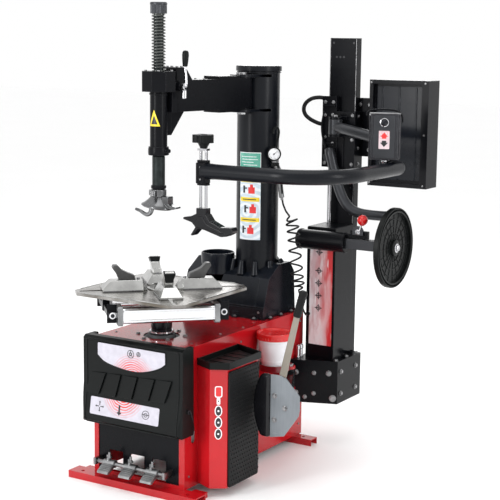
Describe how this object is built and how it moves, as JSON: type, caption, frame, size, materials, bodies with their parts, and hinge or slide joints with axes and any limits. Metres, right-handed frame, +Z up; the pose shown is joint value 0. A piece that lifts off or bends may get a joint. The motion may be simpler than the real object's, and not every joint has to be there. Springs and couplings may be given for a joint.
{
  "type": "tire changer machine",
  "caption": "Floor-standing tire changer with clamping turntable, swing tool arm, bead breaker and a helper mast with press arm and lifting disc.",
  "frame": {"origin": "centre of the four floor anchor holes, on the floor", "axes": "+X towards the bead breaker side, the machine's right as its user sees it; +Y towards the column and the back; +Z up"},
  "size_m": [1.1007, 1.277, 1.954],
  "materials": {
    "red_paint": "gloss",
    "dark_red_paint": "gloss",
    "black_paint": "satin",
    "grey_paint": "satin",
    "black_plastic": "matte",
    "white_plastic": "satin",
    "red_plastic": "gloss",
    "black_rubber": "matte",
    "plate_steel": "brushed",
    "blade_steel": "satin",
    "jaw_steel": "satin",
    "cast_alloy": "cast",
    "cylinder_alloy": "satin",
    "chrome_rod": "polished",
    "cast_iron": "cast",
    "shaft_steel": "oiled"
  },
  "bodies": {
    "frame": {"base_rails": "red_paint", "cabinet_shell": "red_paint", "front_fascia": "black_plastic", "pedal_panel": "black_paint", "pedal_shaft": "jaw_steel", "gearbox": "cast_iron", "drive_motor": "grey_paint", "breaker_cylinder": "cylinder_alloy", "side_cover": "red_paint", "tool_tray": "black_plastic", "wheel_pad": "black_rubber", "bucket_holder": "dark_red_paint", "column_box": "black_plastic", "lube_bowl": "black_plastic", "column_tube": "black_paint", "arm_pivot_pin": "chrome_rod", "inflator_gun": "cast_alloy", "air_hose": "black_rubber", "mast_bracket": "black_paint", "mast_rail": "black_paint", "mast_box": "black_paint", "disc_sleeve": "black_paint"},
    "clamp_pedal_body": {"clamp_pedal": "cast_alloy"},
    "breaker_pedal_body": {"breaker_pedal": "cast_alloy"},
    "turn_pedal_body": {"turn_pedal": "cast_alloy"},
    "breaker": {"breaker_arm": "black_paint", "breaker_blade": "blade_steel", "breaker_handle": "grey_paint"},
    "bucket_body": {"bucket": "white_plastic"},
    "lid_body": {"bucket_lid": "red_plastic"},
    "turntable": {"spindle": "black_paint", "turntable_plate": "plate_steel"},
    "left_jaw": {"jaw_left": "jaw_steel", "cylinder_barrels": "cylinder_alloy"},
    "right_jaw": {"jaw_right": "jaw_steel", "cylinder_rods": "chrome_rod"},
    "front_jaw": {"jaw_front": "jaw_steel"},
    "back_jaw": {"jaw_back": "jaw_steel"},
    "arm": {"swing_arm": "black_paint", "arm_head": "black_paint", "return_spring": "shaft_steel"},
    "lock": {"lock_lever": "chrome_rod"},
    "tool_shaft": {"lift_shaft": "shaft_steel", "mount_head": "cast_alloy"},
    "trigger": {"inflator_lever": "black_plastic"},
    "lift_carriage": {"carriage": "black_paint", "lift_rod": "chrome_rod", "hose_loop": "black_rubber", "roller_arm": "black_paint", "valve_box": "black_paint"},
    "link": {"link_arm": "grey_paint", "control_box": "grey_paint"},
    "stick": {"control_lever": "black_plastic"},
    "press": {"press_arm": "black_paint"},
    "presser": {"press_rods": "chrome_rod", "press_foot": "black_paint"},
    "knob": {"press_knob": "black_plastic"},
    "disc_slide_body": {"disc_shaft": "grey_paint"},
    "disc": {"lifting_disc": "black_plastic"},
    "cam": {"disc_cam_lever": "red_plastic"}
  },
  "joints": [
    {"name": "clamp_pedal_press", "type": "hinge", "parent": "frame", "child": "clamp_pedal_body", "pos_m": [-0.116, -0.47, 0.092], "axis": [1, 0, 0], "range_deg": [0, 12], "stiffness_Nm_per_rad": 6, "springref_deg": -11.46},
    {"name": "breaker_pedal_press", "type": "hinge", "parent": "frame", "child": "breaker_pedal_body", "pos_m": [-0.008, -0.47, 0.092], "axis": [1, 0, 0], "range_deg": [0, 12], "stiffness_Nm_per_rad": 6, "springref_deg": -11.46},
    {"name": "turn_pedal_press", "type": "hinge", "parent": "frame", "child": "turn_pedal_body", "pos_m": [0.1, -0.47, 0.092], "axis": [1, 0, 0], "range_deg": [0, 12], "stiffness_Nm_per_rad": 6, "springref_deg": -11.46},
    {"name": "breaker_swing", "type": "hinge", "parent": "frame", "child": "breaker", "pos_m": [0.29, 0.278, 0.35], "axis": [0, 0, 1], "range_deg": [0, 45]},
    {"name": "bucket_lift", "type": "slide", "parent": "frame", "child": "bucket_body", "axis": [0, 0, 1], "range_m": [0, 0.15]},
    {"name": "lid_lift", "type": "slide", "parent": "bucket_body", "child": "lid_body", "axis": [0, 0, 1], "range_m": [0, 0.08]},
    {"name": "turntable_spin", "type": "hinge", "parent": "frame", "child": "turntable", "pos_m": [0, -0.272, 0.7], "axis": [0, 0, 1], "continuous": true},
    {"name": "left_jaw_slide", "type": "slide", "parent": "turntable", "child": "left_jaw", "axis": [-0.7071, -0.7071, 0], "range_m": [0, 0.1]},
    {"name": "right_jaw_slide", "type": "slide", "parent": "turntable", "child": "right_jaw", "axis": [0.7071, 0.7071, 0], "range_m": [0, 0.1]},
    {"name": "front_jaw_slide", "type": "slide", "parent": "turntable", "child": "front_jaw", "axis": [0.7071, -0.7071, 0], "range_m": [0, 0.1]},
    {"name": "back_jaw_slide", "type": "slide", "parent": "turntable", "child": "back_jaw", "axis": [-0.7071, 0.7071, 0], "range_m": [0, 0.1]},
    {"name": "arm_swing", "type": "hinge", "parent": "frame", "child": "arm", "pos_m": [0.062, 0.226, 1.58], "axis": [0, 0, 1], "range_deg": [-85, 0]},
    {"name": "lock_lever_turn", "type": "hinge", "parent": "arm", "child": "lock", "pos_m": [0.0685, -0.215, 1.622], "axis": [1, 0, 0], "range_deg": [-40, 0]},
    {"name": "tool_shaft_lift", "type": "slide", "parent": "arm", "child": "tool_shaft", "axis": [0, 0, 1], "range_m": [-0.15, 0], "stiffness_N_per_m": 700, "springref_m": 0.25, "deforming": ["return_spring"]},
    {"name": "inflator_squeeze", "type": "hinge", "parent": "frame", "child": "trigger", "pos_m": [0.19, 0.322, 1.28], "axis": [0.848, 0.5299, 0], "range_deg": [0, 3], "stiffness_Nm_per_rad": 1, "springref_deg": -5.73},
    {"name": "carriage_lift", "type": "slide", "parent": "frame", "child": "lift_carriage", "axis": [0, 0, 1], "range_m": [-0.05, 0.25]},
    {"name": "link_swing", "type": "hinge", "parent": "lift_carriage", "child": "link", "pos_m": [0.343, 0.56, 1.435], "axis": [0, 0, 1], "range_deg": [0, 20]},
    {"name": "control_stick_tilt", "type": "hinge", "parent": "link", "child": "stick", "pos_m": [0.72608, 0.26396, 1.484], "axis": [0.9272, 0.3746, 0], "range_deg": [-15, 15], "stiffness_Nm_per_rad": 0.6},
    {"name": "press_arm_swing", "type": "hinge", "parent": "link", "child": "press", "pos_m": [0.68, 0.378, 1.29], "axis": [0, 0, 1], "range_deg": [0, 60]},
    {"name": "press_rod_slide", "type": "slide", "parent": "press", "child": "presser", "axis": [0, 0, 1], "range_m": [-0.045, 0.085]},
    {"name": "press_knob_turn", "type": "hinge", "parent": "presser", "child": "knob", "pos_m": [0.163, -0.212, 1.4], "axis": [0, 0, 1], "continuous": true},
    {"name": "disc_arm_slide", "type": "slide", "parent": "frame", "child": "disc_slide_body", "axis": [1, 0, 0], "range_m": [-0.06, 0.12]},
    {"name": "disc_spin", "type": "hinge", "parent": "disc_slide_body", "child": "disc", "pos_m": [0.7, 0.432, 0.945], "axis": [1, 0, 0], "continuous": true},
    {"name": "disc_cam_turn", "type": "hinge", "parent": "frame", "child": "cam", "pos_m": [0.54, 0.419, 1], "axis": [0, 1, 0], "range_deg": [0, 40]}
  ],
  "couplings": [
    {"joint": "right_jaw_slide", "follows": "left_jaw_slide", "ratio": 1},
    {"joint": "front_jaw_slide", "follows": "left_jaw_slide", "ratio": 1},
    {"joint": "back_jaw_slide", "follows": "left_jaw_slide", "ratio": 1}
  ]
}
